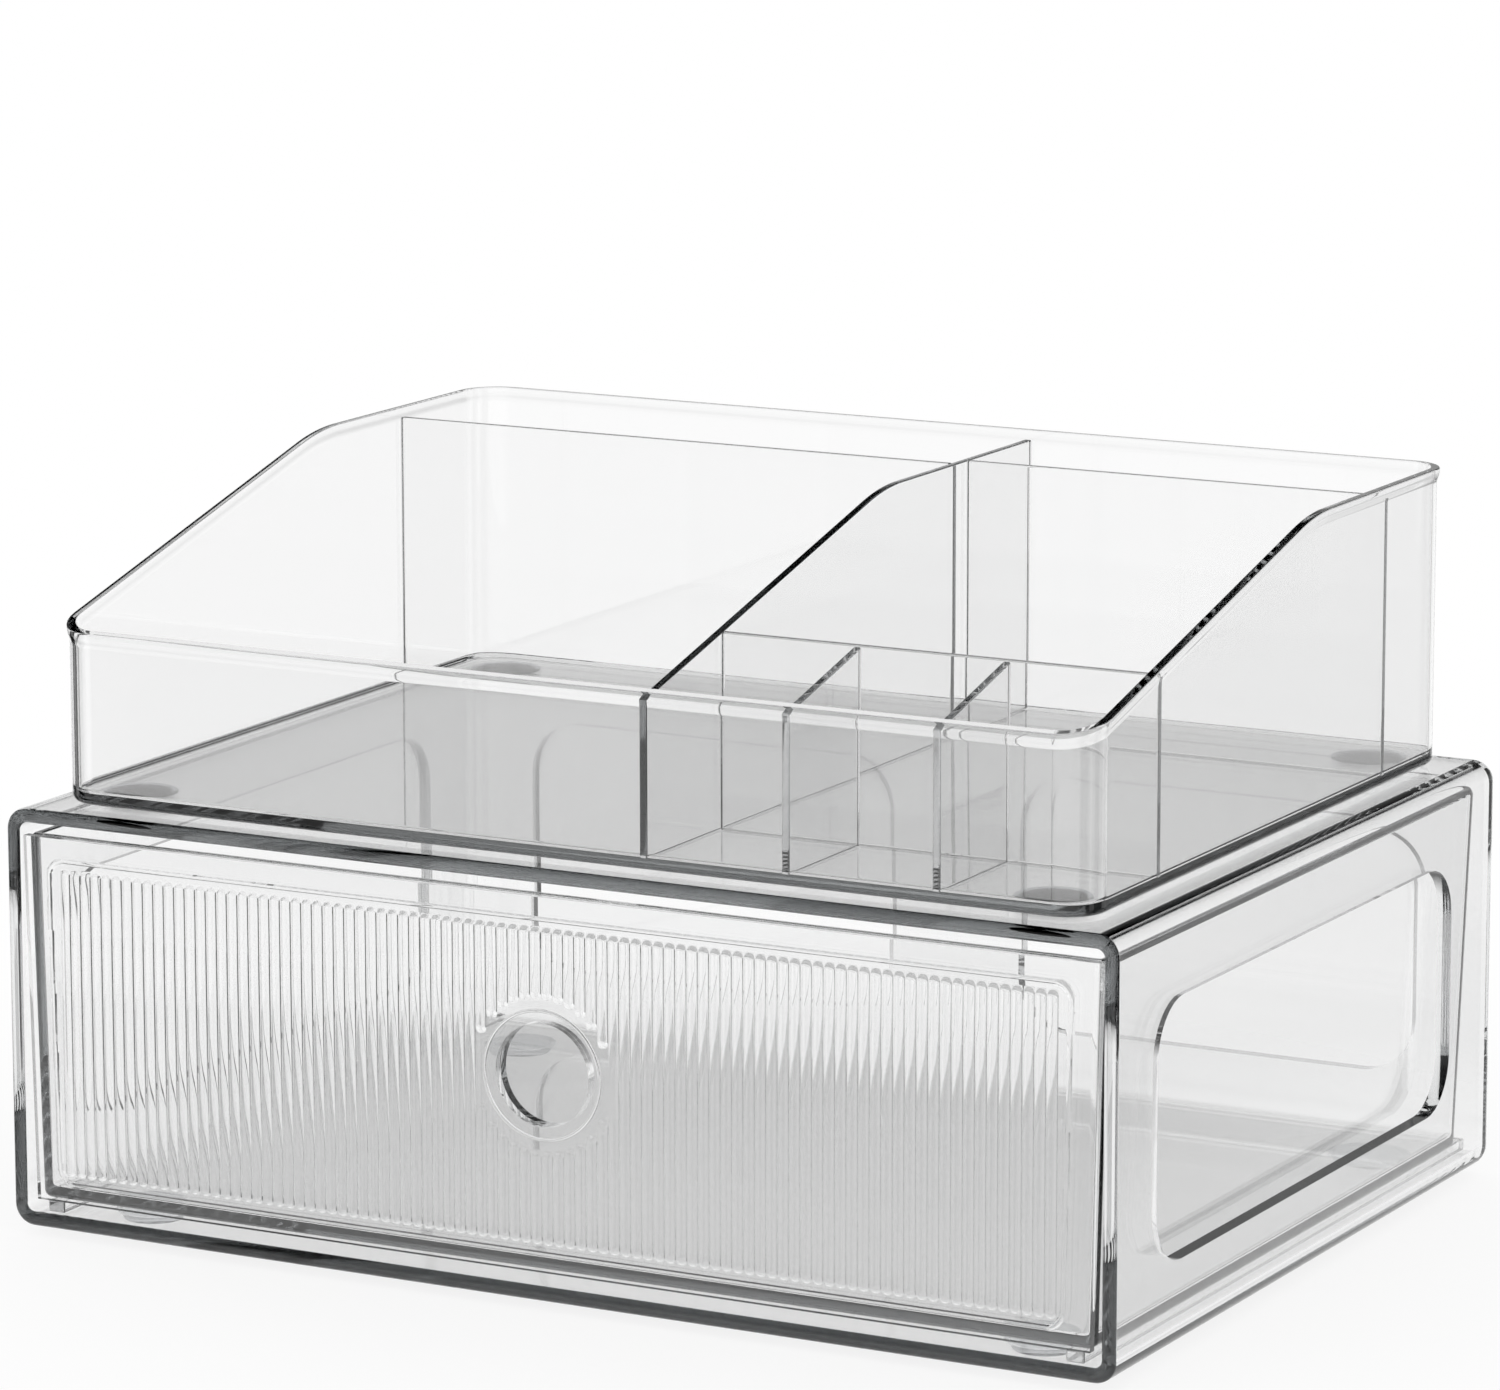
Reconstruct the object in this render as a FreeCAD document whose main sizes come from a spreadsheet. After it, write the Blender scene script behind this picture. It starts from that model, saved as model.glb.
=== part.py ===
"""Clear makeup organizer: a cabinet with one sliding drawer, and a loose divided tray on its top.

Millimetres. +Z is up and the open front of the cabinet faces -Y. The origin is under the middle of
the whole object, at the level that it stands on.
"""
import FreeCAD
import Part
import Sketcher
import os
import re
from FreeCAD import Vector

doc = FreeCAD.newDocument("MakeupOrganizer")
sheet = doc.addObject("Spreadsheet::Sheet", "Sizes")

SIZES = {
    # cabinet: a box that is open at the front, with a window in each side and two in the back
    "cabinet_width": 250.0,
    "cabinet_depth": 187.0,
    "cabinet_height": 87.7,
    "cabinet_wall": 3.0,
    "cabinet_edge_round": 4.5,
    "cabinet_inner_round": 1.8,
    "cabinet_back_round": 4.0,
    "cabinet_mouth_round": 1.3,
    "window_length": 144.0,
    "window_height": 52.4,
    "window_rise": 18.0,
    "window_setback": 18.5,
    "window_round": 11.5,
    "back_window_margin": 18.5,
    "back_post_width": 31.5,
    # round anti-slip pads under the cabinet and under the tray
    "pad_radius": 7.8,
    "pad_taper": 1.2,
    "cabinet_pad_height": 2.0,
    "cabinet_pad_side_inset": 23.0,
    "cabinet_pad_end_inset": 17.7,
    "tray_pad_height": 0.6,
    "tray_pad_side_inset": 13.5,
    "tray_pad_end_inset": 12.5,
    # rails on the cabinet floor, which the drawer slides on
    "runner_width": 4.0,
    "runner_height": 2.6,
    "runner_wall_gap": 4.2,
    "runner_setback": 2.0,
    "runner_clearance": 0.2,
    # drawer tub, wider at its rim than at its floor
    "drawer_side_gap": 0.8,
    "drawer_recess": 0.5,
    "drawer_top_gap": 2.7,
    "drawer_back_gap": 3.5,
    "drawer_side_draft": 1.7,
    "drawer_back_draft": 3.4,
    "drawer_wall": 2.0,
    "drawer_floor": 2.2,
    "drawer_corner_round": 4.0,
    "drawer_inner_round": 2.0,
    "drawer_bottom_round": 1.6,
    # ribbed plate on the drawer's front
    "plate_thickness": 2.0,
    "relief_height": 0.4,
    "border_side_margin": 5.4,
    "border_top_margin": 4.0,
    "border_bottom_margin": 3.4,
    "border_width": 1.0,
    "rib_pitch": 2.5,
    "rib_width": 1.6,
    "rib_end_gap": 1.3,
    "finger_hole_radius": 10.5,
    "finger_hole_rise": 40.2,
    "ring_radius": 13.4,
    "ring_width": 0.7,
    "rib_free_radius": 15.6,
    # tray: low in front, sloping up to a knee and then level to the back
    "tray_side_inset": 8.15,
    "tray_front_inset": 5.3,
    "tray_back_inset": 8.1,
    "tray_front_height": 35.6,
    "tray_back_height": 62.6,
    "tray_knee_distance": 103.2,
    "tray_knee_round": 60.0,
    "tray_wall": 2.0,
    "tray_floor": 2.2,
    "tray_corner_round": 9.0,
    "tray_inner_round": 7.0,
    "tray_bottom_round": 1.6,
    # plates that divide the tray
    "divider_thickness": 1.7,
    "divider_drop": 2.0,
    "partition_side_offset": 19.7,
    "back_wall_left_distance": 136.2,
    "back_wall_right_distance": 141.2,
    "cross_wall_distance": 32.7,
    "bay_wall_left_inset": 65.85,
    "bay_wall_right_inset": 33.35,
}
for row, (alias, number) in enumerate(SIZES.items(), start=1):
    sheet.set(f"A{row}", alias)
    sheet.set(f"B{row}", str(number))
    sheet.setAlias(f"B{row}", alias)
doc.recompute()

# Levels and places that follow from the driving sizes, as expressions of the sheet's names.
HALF_WIDTH = "(cabinet_width / 2)"
HALF_DEPTH = "(cabinet_depth / 2)"
INNER_HALF_WIDTH = "(cabinet_width / 2 - cabinet_wall)"
CABINET_TOP = "(cabinet_pad_height + cabinet_height)"
CABINET_FLOOR = "(cabinet_pad_height + cabinet_wall)"
CABINET_CEILING = f"({CABINET_TOP} - cabinet_wall)"
DRAWER_BASE = f"({CABINET_FLOOR} + runner_height + runner_clearance)"
DRAWER_HEIGHT = f"({CABINET_CEILING} - drawer_top_gap - {DRAWER_BASE})"
DRAWER_RIM = f"({DRAWER_BASE} + {DRAWER_HEIGHT})"
DRAWER_RIM_HALF = f"({INNER_HALF_WIDTH} - drawer_side_gap)"
DRAWER_BASE_HALF = f"({DRAWER_RIM_HALF} - drawer_side_draft)"
DRAWER_FRONT = "(-cabinet_depth / 2 + drawer_recess)"
PLATE_FACE = f"({DRAWER_FRONT} + relief_height)"
TUB_FRONT = f"({PLATE_FACE} + plate_thickness)"
TUB_BACK = "(cabinet_depth / 2 - cabinet_wall - drawer_back_gap)"
SIDE_LEAN = f"(drawer_side_draft / {DRAWER_HEIGHT})"
BACK_LEAN = f"(drawer_back_draft / {DRAWER_HEIGHT})"
TRAY_BASE = f"({CABINET_TOP} + tray_pad_height)"
TRAY_FLOOR_TOP = f"({TRAY_BASE} + tray_floor)"
TRAY_HALF = "(cabinet_width / 2 - tray_side_inset)"
TRAY_FRONT = "(-cabinet_depth / 2 + tray_front_inset)"
TRAY_BACK = "(cabinet_depth / 2 - tray_back_inset)"
TRAY_SLOPE = "((tray_back_height - tray_front_height) / tray_knee_distance)"
TRAY_INNER_FRONT = f"({TRAY_FRONT} + tray_wall)"
TRAY_INNER_BACK = f"({TRAY_BACK} - tray_wall)"
TRAY_INNER_HALF = f"({TRAY_HALF} - tray_wall)"
CROSS_WALL_FRONT = f"({TRAY_FRONT} + cross_wall_distance - divider_thickness / 2)"


def in_sheet(expression):
    """The same expression with each size looked up in the sheet, for objects outside it."""
    return re.sub(r"\b[a-z]+(?:_[a-z]+)+\b", lambda name: "Sizes." + name.group(0), expression)


def value(expression):
    """The number, in millimetres, that an expression of sizes has now."""
    return float(sheet.evalExpression(expression))


def bind(thing, **expressions):
    """Tie properties of a document object to expressions of sizes."""
    for name, expression in expressions.items():
        thing.setExpression(name.replace("__", "."), in_sheet(expression))


def new_body(label):
    body = doc.addObject("PartDesign::Body", label)
    body.Label = label
    return body


def sketch_on(body, name, role, offset=None):
    """A sketch on one of the body's own origin planes, moved along that plane's normal by offset."""
    plane = next(p for p in body.Origin.OriginFeatures if p.Role == role)
    sketch = body.newObject("Sketcher::SketchObject", name)
    sketch.AttachmentSupport = [(plane, "")]
    sketch.MapMode = "FlatFace"
    if offset:
        bind(sketch, AttachmentOffset__Base__z=offset)
    return sketch


def place_point(sketch, geometry, point, across, up):
    """Hold a point of the sketch at a distance across and up from the sketch's origin."""
    for kind, expression in (("DistanceX", across), ("DistanceY", up)):
        index = sketch.addConstraint(Sketcher.Constraint(kind, -1, 1, geometry, point, value(expression)))
        sketch.setExpression(f"Constraints[{index}]", in_sheet(expression))


def polygon(sketch, corners):
    """A closed outline through corners, each a pair of expressions."""
    spots = [Vector(value(across), value(up), 0) for across, up in corners]
    first = sketch.GeometryCount
    count = len(corners)
    for index in range(count):
        sketch.addGeometry(Part.LineSegment(spots[index], spots[(index + 1) % count]), False)
    for index in range(count):
        following = first + (index + 1) % count
        sketch.addConstraint(Sketcher.Constraint("Coincident", first + index, 2, following, 1))
    for index, (across, up) in enumerate(corners):
        place_point(sketch, first + index, 1, across, up)


def rectangle(sketch, left, right, low, high):
    polygon(sketch, [(left, low), (right, low), (right, high), (left, high)])


def circle(sketch, across, up, radius):
    centre = Vector(value(across), value(up), 0)
    index = sketch.addGeometry(Part.Circle(centre, Vector(0, 0, 1), value(radius)), False)
    place_point(sketch, index, 3, across, up)
    ring = sketch.addConstraint(Sketcher.Constraint("Radius", index, value(radius)))
    sketch.setExpression(f"Constraints[{ring}]", in_sheet(radius))


def pad(body, name, sketch, length, both_ways=False, reverse=False):
    feature = body.newObject("PartDesign::Pad", name)
    feature.Profile = sketch
    feature.Midplane = both_ways
    feature.Reversed = reverse
    bind(feature, Length=length)
    doc.recompute()
    return feature


def pocket(body, name, sketch, length, both_ways=False, reverse=False):
    before = body.Shape.Volume
    feature = body.newObject("PartDesign::Pocket", name)
    feature.Profile = sketch
    feature.Midplane = both_ways
    feature.Reversed = reverse
    bind(feature, Length=length)
    doc.recompute()
    if body.Shape.Volume >= before:
        raise RuntimeError(f"{body.Label}: {name} cuts nothing")
    return feature


def round_edges(body, name, radius, wanted):
    """Fillet the edges of the body that the test wanted(middle, direction) picks out."""
    base = body.Tip
    names = []
    for index, edge in enumerate(base.Shape.Edges, start=1):
        middle = edge.valueAt((edge.FirstParameter + edge.LastParameter) / 2)
        run = edge.valueAt(edge.LastParameter) - edge.valueAt(edge.FirstParameter)
        direction = run.normalize() if run.Length > 0 else Vector(0, 0, 0)
        if wanted(middle, direction):
            names.append(f"Edge{index}")
    feature = body.newObject("PartDesign::Fillet", name)
    feature.Base = (base, names)
    bind(feature, Radius=radius)
    doc.recompute()
    return feature


def lean_faces(body, name, angle, level, wanted):
    """Lean the upright faces that wanted(middle) picks out. They stay put at the level and open upwards."""
    base = body.Tip
    names = []
    neutral = None
    for index, face in enumerate(base.Shape.Faces, start=1):
        middle = face.CenterOfMass
        normal = face.normalAt(*face.Surface.parameter(middle))
        if abs(normal.z) < 0.5 and wanted(middle):
            names.append(f"Face{index}")
        if abs(normal.z) > 0.9 and near(middle.z, level):
            neutral = f"Face{index}"
    feature = body.newObject("PartDesign::Draft", name)
    feature.Base = (base, names)
    feature.NeutralPlane = (base, [neutral])
    feature.Reversed = True
    bind(feature, Angle=angle)
    doc.recompute()
    return feature


def near(first, second):
    return abs(first - second) < 0.01


def upright(direction):
    return abs(direction.z) > 0.9


def block(label, left, front, low, width, depth, height):
    """A plain bar or plate with its corner at left, front, low."""
    box = doc.addObject("Part::Box", label)
    box.Label = label
    bind(box, Length=width, Width=depth, Height=height)
    bind(box, Placement__Base__x=left, Placement__Base__y=front, Placement__Base__z=low)
    return box


def disc(label, across, depth, low, base_radius, top_radius, height):
    pad_disc = doc.addObject("Part::Cone", label)
    pad_disc.Label = label
    bind(pad_disc, Radius1=base_radius, Radius2=top_radius, Height=height)
    bind(pad_disc, Placement__Base__x=across, Placement__Base__y=depth, Placement__Base__z=low)
    return pad_disc


def make_cabinet_shell():
    """Box open at the front, with windows. Its outer edges are rounded, and so is the mouth's rim."""
    body = new_body("cabinet_shell")
    outline = sketch_on(body, "cabinet_outline", "XZ_Plane")
    rectangle(outline, f"-{HALF_WIDTH}", HALF_WIDTH, "cabinet_pad_height", CABINET_TOP)
    pad(body, "cabinet_block", outline, "cabinet_depth", both_ways=True)
    front = -value(HALF_DEPTH)
    back = value(HALF_DEPTH)
    round_edges(body, "cabinet_long_edges", "cabinet_edge_round", lambda m, d: abs(d.y) > 0.9)
    round_edges(body, "cabinet_back_edges", "cabinet_back_round", lambda m, d: near(m.y, back))
    cavity = sketch_on(body, "cabinet_cavity", "XZ_Plane", HALF_DEPTH)
    rectangle(cavity, f"-{INNER_HALF_WIDTH}", INNER_HALF_WIDTH, CABINET_FLOOR, CABINET_CEILING)
    pocket(body, "cabinet_inside", cavity, "cabinet_depth - cabinet_wall")
    inner = value(INNER_HALF_WIDTH)
    levels = [value(CABINET_FLOOR), value(CABINET_CEILING)]

    def inner_corner(middle, direction):
        at_level = any(near(middle.z, level) for level in levels)
        return abs(direction.y) > 0.9 and near(abs(middle.x), inner) and at_level

    round_edges(body, "cabinet_inner_edges", "cabinet_inner_round", inner_corner)
    round_edges(body, "cabinet_mouth", "cabinet_mouth_round", lambda m, d: near(m.y, front))
    window = sketch_on(body, "window_outline", "YZ_Plane")
    window_front = "(-cabinet_depth / 2 + window_setback)"
    window_back = f"({window_front} + window_length)"
    window_low = "(cabinet_pad_height + window_rise)"
    window_high = f"({window_low} + window_height)"
    rectangle(window, window_front, window_back, window_low, window_high)
    pocket(body, "windows", window, "cabinet_width * 2", both_ways=True)
    post_half = "(back_post_width / 2)"
    back_window_half = f"({HALF_WIDTH} - back_window_margin)"
    back_window = sketch_on(body, "back_window_left_outline", "XZ_Plane")
    rectangle(back_window, f"-{back_window_half}", f"-{post_half}", window_low, window_high)
    pocket(body, "back_window_left", back_window, "cabinet_depth")
    back_window = sketch_on(body, "back_window_right_outline", "XZ_Plane")
    rectangle(back_window, post_half, back_window_half, window_low, window_high)
    pocket(body, "back_window_right", back_window, "cabinet_depth")
    ends = [value(window_front), value(window_back)]
    heights = [value(window_low), value(window_high)]

    def window_corner(middle, direction):
        at_end = any(near(middle.y, end) for end in ends)
        at_height = any(near(middle.z, height) for height in heights)
        return abs(direction.x) > 0.9 and at_end and at_height

    back_ends = [value(post_half), value(back_window_half)]

    def back_window_corner(middle, direction):
        at_end = any(near(abs(middle.x), end) for end in back_ends)
        at_height = any(near(middle.z, height) for height in heights)
        return abs(direction.y) > 0.9 and at_end and at_height

    round_edges(body, "window_corners", "window_round", window_corner)
    round_edges(body, "back_window_corners", "window_round", back_window_corner)
    return body


def make_runner(side):
    """Rail on the cabinet floor, from just inside the mouth to the back wall."""
    outer = f"({INNER_HALF_WIDTH} - runner_wall_gap)"
    left = f"{outer} - runner_width" if side == "right" else f"-{outer}"
    length = "cabinet_depth - runner_setback - cabinet_wall"
    return block(f"drawer_runner_{side}", left, f"-{HALF_DEPTH} + runner_setback", CABINET_FLOOR,
                 "runner_width", length, "runner_height")


def make_drawer_tub():
    """Open tub. Its sides and back lean outwards towards the rim, and its front is upright."""
    body = new_body("drawer_tub")
    back = f"({TUB_BACK} - drawer_back_draft)"
    plan = sketch_on(body, "tub_plan", "XY_Plane", DRAWER_BASE)
    rectangle(plan, f"-{DRAWER_BASE_HALF}", DRAWER_BASE_HALF, TUB_FRONT, back)
    pad(body, "tub_block", plan, DRAWER_HEIGHT)
    half = value(DRAWER_BASE_HALF)
    base = value(DRAWER_BASE)
    lean_faces(body, "tub_sides_lean", f"atan({SIDE_LEAN})", base, lambda f: near(abs(f.x), half))
    lean_faces(body, "tub_back_lean", f"atan({BACK_LEAN})", base,
               lambda f: near(f.y, value(back)))
    round_edges(body, "tub_corners", "drawer_corner_round", lambda m, d: upright(d) and m.y > 0)
    round_edges(body, "tub_bottom", "drawer_bottom_round", lambda m, d: near(m.z, base))
    floor_level = f"({DRAWER_BASE} + drawer_floor)"
    sections = []
    for name, height, half, end in (
        ("floor", floor_level, f"({DRAWER_BASE_HALF} + {SIDE_LEAN} * drawer_floor - drawer_wall)",
         f"({back} + {BACK_LEAN} * drawer_floor - drawer_wall)"),
        ("mouth", DRAWER_RIM, f"({DRAWER_RIM_HALF} - drawer_wall)",
         f"({TUB_BACK} - drawer_wall)"),
    ):
        sketch = sketch_on(body, f"tub_{name}_plan", "XY_Plane", height)
        rectangle(sketch, f"-{half}", half, f"{TUB_FRONT} + drawer_wall", end)
        sections.append(sketch)
    inside = body.newObject("PartDesign::SubtractiveLoft", "tub_inside")
    inside.Profile = sections[0]
    inside.Sections = sections[1:]
    inside.Ruled = True
    doc.recompute()
    level = value(floor_level)
    between_x = value(f"({DRAWER_RIM_HALF} + {DRAWER_BASE_HALF} - drawer_wall) / 2")
    between_y = value(f"{TUB_BACK} - (drawer_back_draft + drawer_wall) / 2")
    round_edges(body, "tub_inner_corners", "drawer_inner_round",
                lambda m, d: upright(d) and abs(m.x) < between_x and m.y < between_y and m.z > level)
    hole = sketch_on(body, "tub_hole", "XZ_Plane", f"-{TUB_FRONT}")
    circle(hole, "0", f"{DRAWER_BASE} + finger_hole_rise", "finger_hole_radius")
    pocket(body, "tub_finger_hole", hole, "drawer_wall * 2")
    return body


def border_corners(inset):
    """Outline of the ribbed field, moved inwards by inset. It leans with the drawer's sides."""
    low = f"({DRAWER_BASE} + border_bottom_margin + {inset})"
    high = f"({DRAWER_RIM} - border_top_margin - {inset})"
    low_half = f"({DRAWER_BASE_HALF} + {SIDE_LEAN} * border_bottom_margin - border_side_margin - {inset})"
    high_half = f"({DRAWER_RIM_HALF} - {SIDE_LEAN} * border_top_margin - border_side_margin - {inset})"
    return [(f"-{low_half}", low), (low_half, low), (high_half, high), (f"-{high_half}", high)]


def make_drawer_front_panel():
    """Plate on the tub's front, with a raised border, upright ribs, and a finger hole in a raised ring."""
    body = new_body("drawer_front_panel")
    outline = sketch_on(body, "plate_outline", "XZ_Plane", f"-{TUB_FRONT}")
    polygon(outline, [(f"-{DRAWER_BASE_HALF}", DRAWER_BASE), (DRAWER_BASE_HALF, DRAWER_BASE),
                      (DRAWER_RIM_HALF, DRAWER_RIM), (f"-{DRAWER_RIM_HALF}", DRAWER_RIM)])
    pad(body, "plate", outline, "plate_thickness")
    border = sketch_on(body, "border_outline", "XZ_Plane", f"-{PLATE_FACE}")
    polygon(border, border_corners("0"))
    polygon(border, border_corners("border_width"))
    pad(body, "border", border, "relief_height")
    rib_low = f"({DRAWER_BASE} + border_bottom_margin + border_width + rib_end_gap)"
    rib_high = f"({DRAWER_RIM} - border_top_margin - border_width - rib_end_gap)"
    room = f"({DRAWER_BASE_HALF} - border_side_margin - border_width - rib_end_gap)"
    gaps = f"floor((2 * {room} - rib_width) / rib_pitch)"
    rib_left = f"(-rib_pitch * {gaps} / 2 - rib_width / 2)"
    rib = sketch_on(body, "rib_outline", "XZ_Plane", f"-{PLATE_FACE}")
    rectangle(rib, rib_left, f"{rib_left} + rib_width", rib_low, rib_high)
    first_rib = pad(body, "rib", rib, "relief_height")
    ribs = body.newObject("PartDesign::LinearPattern", "ribs")
    ribs.Originals = [first_rib]
    ribs.Direction = (rib, ["H_Axis"])
    bind(ribs, Length=f"rib_pitch * {gaps}", Occurrences=f"{gaps} + 1")
    body.Tip = ribs
    doc.recompute()
    centre = ("0", f"{DRAWER_BASE} + finger_hole_rise")
    clear = sketch_on(body, "rib_free_disc", "XZ_Plane", f"-{DRAWER_FRONT}")
    circle(clear, *centre, "rib_free_radius")
    circle(clear, *centre, "ring_radius")
    pocket(body, "rib_free_band", clear, "relief_height")
    inside = sketch_on(body, "ring_inside", "XZ_Plane", f"-{DRAWER_FRONT}")
    circle(inside, *centre, "ring_radius - ring_width")
    pocket(body, "ring_floor", inside, "relief_height")
    ring = sketch_on(body, "ring_outline", "XZ_Plane", f"-{PLATE_FACE}")
    circle(ring, *centre, "ring_radius")
    circle(ring, *centre, "ring_radius - ring_width")
    pad(body, "ring", ring, "relief_height")
    hole = sketch_on(body, "plate_hole", "XZ_Plane", f"-{TUB_FRONT}")
    circle(hole, *centre, "finger_hole_radius")
    pocket(body, "plate_finger_hole", hole, "plate_thickness * 3", reverse=True)
    return body


def tray_rim(distance, drop="0"):
    """Height of the sloping rim at a distance behind the tray's front, less a drop."""
    return f"({TRAY_BASE} + tray_front_height + {TRAY_SLOPE} * ({distance}) - {drop})"


def make_tray_shell():
    """Tray with rounded corners. Its side walls slope up from the low front to a soft knee."""
    body = new_body("tray_shell")
    plan = sketch_on(body, "tray_plan", "XY_Plane", TRAY_BASE)
    rectangle(plan, f"-{TRAY_HALF}", TRAY_HALF, TRAY_FRONT, TRAY_BACK)
    pad(body, "tray_block", plan, "tray_back_height")
    inside = sketch_on(body, "tray_inside_plan", "XY_Plane", TRAY_FLOOR_TOP)
    rectangle(inside, f"-{TRAY_INNER_HALF}", TRAY_INNER_HALF, TRAY_INNER_FRONT, TRAY_INNER_BACK)
    pocket(body, "tray_inside", inside, "tray_back_height", reverse=True)
    half = value(TRAY_INNER_HALF)
    front = value(TRAY_INNER_FRONT)
    back = value(TRAY_INNER_BACK)

    def inner_corner(middle, direction):
        at_end = near(middle.y, front) or near(middle.y, back)
        return upright(direction) and near(abs(middle.x), half) and at_end

    round_edges(body, "tray_inner_corners", "tray_inner_round", inner_corner)
    outer_half = value(TRAY_HALF)
    round_edges(body, "tray_corners", "tray_corner_round",
                lambda m, d: upright(d) and near(abs(m.x), outer_half))
    base = value(TRAY_BASE)
    round_edges(body, "tray_bottom", "tray_bottom_round", lambda m, d: near(m.z, base))
    profile = sketch_on(body, "tray_profile", "YZ_Plane")
    top = f"({TRAY_BASE} + tray_back_height)"
    above = f"({top} + tray_wall)"
    knee = f"({TRAY_FRONT} + tray_knee_distance)"
    before = f"({TRAY_FRONT} - tray_wall)"
    polygon(profile, [(before, tray_rim("-tray_wall")), (knee, top), (knee, above), (before, above)])
    pocket(body, "tray_slope", profile, "cabinet_width * 2", both_ways=True)
    knee_y = value(knee)
    round_edges(body, "tray_knee", "tray_knee_round",
                lambda m, d: abs(d.x) > 0.9 and near(m.y, knee_y) and near(m.z, value(top)))
    return body


def make_long_wall(label, offset):
    """Full-depth wall of the tray that follows the rim of its sides, a little lower."""
    body = new_body(label)
    profile = sketch_on(body, f"{label}_profile", "YZ_Plane", offset)
    knee = f"({TRAY_FRONT} + tray_knee_distance)"
    top = f"({TRAY_BASE} + tray_back_height - divider_drop)"
    polygon(profile, [(TRAY_INNER_FRONT, TRAY_FLOOR_TOP), (TRAY_INNER_BACK, TRAY_FLOOR_TOP),
                      (TRAY_INNER_BACK, top), (knee, top),
                      (TRAY_INNER_FRONT, tray_rim("tray_wall", "divider_drop"))])
    pad(body, f"{label}_plate", profile, "divider_thickness", both_ways=True)
    knee_y = value(knee)
    round_edges(body, f"{label}_knee", "tray_knee_round",
                lambda m, d: abs(d.x) > 0.9 and near(m.y, knee_y))
    return body


def cross_plate(label, side, front, height):
    """Plate across the tray, from the partition to one side wall."""
    half = "divider_thickness / 2"
    right_start = f"(partition_side_offset + {half})"
    left, width = {
        "left": (f"-{TRAY_INNER_HALF}", f"{TRAY_INNER_HALF} + partition_side_offset - {half}"),
        "right": (right_start, f"{TRAY_INNER_HALF} - {right_start}"),
    }[side]
    return block(label, left, front, TRAY_FLOOR_TOP, width, "divider_thickness", height)


def make_back_wall(side):
    """Tall wall that parts off the back row on one side of the partition."""
    front = f"{TRAY_FRONT} + back_wall_{side}_distance - divider_thickness / 2"
    return cross_plate(f"tray_back_wall_{side}", side, front, "tray_back_height - divider_drop - tray_floor")


def make_cross_wall():
    """Low wall behind the three small bays at the front right."""
    height = f"{tray_rim('cross_wall_distance', 'divider_drop')} - {TRAY_FLOOR_TOP}"
    return cross_plate("tray_cross_wall", "right", CROSS_WALL_FRONT, height)


def make_bay_wall(label, offset):
    """Short wall from the tray's front to the cross wall, with a sloping rim."""
    body = new_body(label)
    profile = sketch_on(body, f"{label}_profile", "YZ_Plane", offset)
    reach = "cross_wall_distance - divider_thickness / 2"
    polygon(profile, [(TRAY_INNER_FRONT, TRAY_FLOOR_TOP), (CROSS_WALL_FRONT, TRAY_FLOOR_TOP),
                      (CROSS_WALL_FRONT, tray_rim(reach, "divider_drop")),
                      (TRAY_INNER_FRONT, tray_rim("tray_wall", "divider_drop"))])
    pad(body, f"{label}_plate", profile, "divider_thickness", both_ways=True)
    return body


def make_pads(name, side_inset, end_inset, half_width, front, back, low, height):
    """Four round pads, one near each corner, each a little narrower at its foot."""
    pads = []
    for end, depth in (("front", f"{front} + {end_inset}"), ("rear", f"{back} - {end_inset}")):
        for side, sign in (("left", "-"), ("right", "")):
            across = f"{sign}({half_width} - {side_inset})"
            pads.append(disc(f"{name}_{end}_{side}", across, depth, low, "pad_radius - pad_taper",
                             "pad_radius", height))
    return pads


pieces = [make_cabinet_shell(), make_runner("left"), make_runner("right")]
pieces += make_pads("cabinet_pad", "cabinet_pad_side_inset", "cabinet_pad_end_inset", HALF_WIDTH,
                    f"-{HALF_DEPTH}", HALF_DEPTH, "0", "cabinet_pad_height")
pieces += [make_drawer_tub(), make_drawer_front_panel(), make_tray_shell()]
pieces.append(make_long_wall("tray_partition", "partition_side_offset"))
pieces.append(make_back_wall("left"))
pieces.append(make_back_wall("right"))
pieces.append(make_cross_wall())
pieces.append(make_bay_wall("tray_divider_left", f"{TRAY_HALF} - bay_wall_left_inset"))
pieces.append(make_bay_wall("tray_divider_right", f"{TRAY_HALF} - bay_wall_right_inset"))
pieces += make_pads("tray_pad", "tray_pad_side_inset", "tray_pad_end_inset", TRAY_HALF,
                    TRAY_FRONT, TRAY_BACK, CABINET_TOP, "tray_pad_height")

doc.recompute()
for thing in doc.Objects:
    if {"Invalid", "Error"} & set(thing.State):
        raise RuntimeError(f"{thing.Label} failed: {thing.State}")
for piece in pieces:
    if piece.Shape.isNull() or not piece.Shape.isValid() or len(piece.Shape.Solids) != 1:
        raise RuntimeError(f"{piece.Label} has no sound solid")

os.makedirs("parts", exist_ok=True)
for piece in pieces:
    piece.Shape.exportStep(f"parts/{piece.Label}.step")
    box = piece.Shape.BoundBox
    print(f"{piece.Label:24s} x {box.XMin:8.2f} {box.XMax:8.2f}  y {box.YMin:8.2f} {box.YMax:8.2f}"
          f"  z {box.ZMin:7.2f} {box.ZMax:7.2f}  {piece.Shape.Volume / 1000:8.2f} cm3")
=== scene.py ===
import math

import bmesh
import bpy
import numpy as np
from mathutils import Euler, Matrix, Vector


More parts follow.
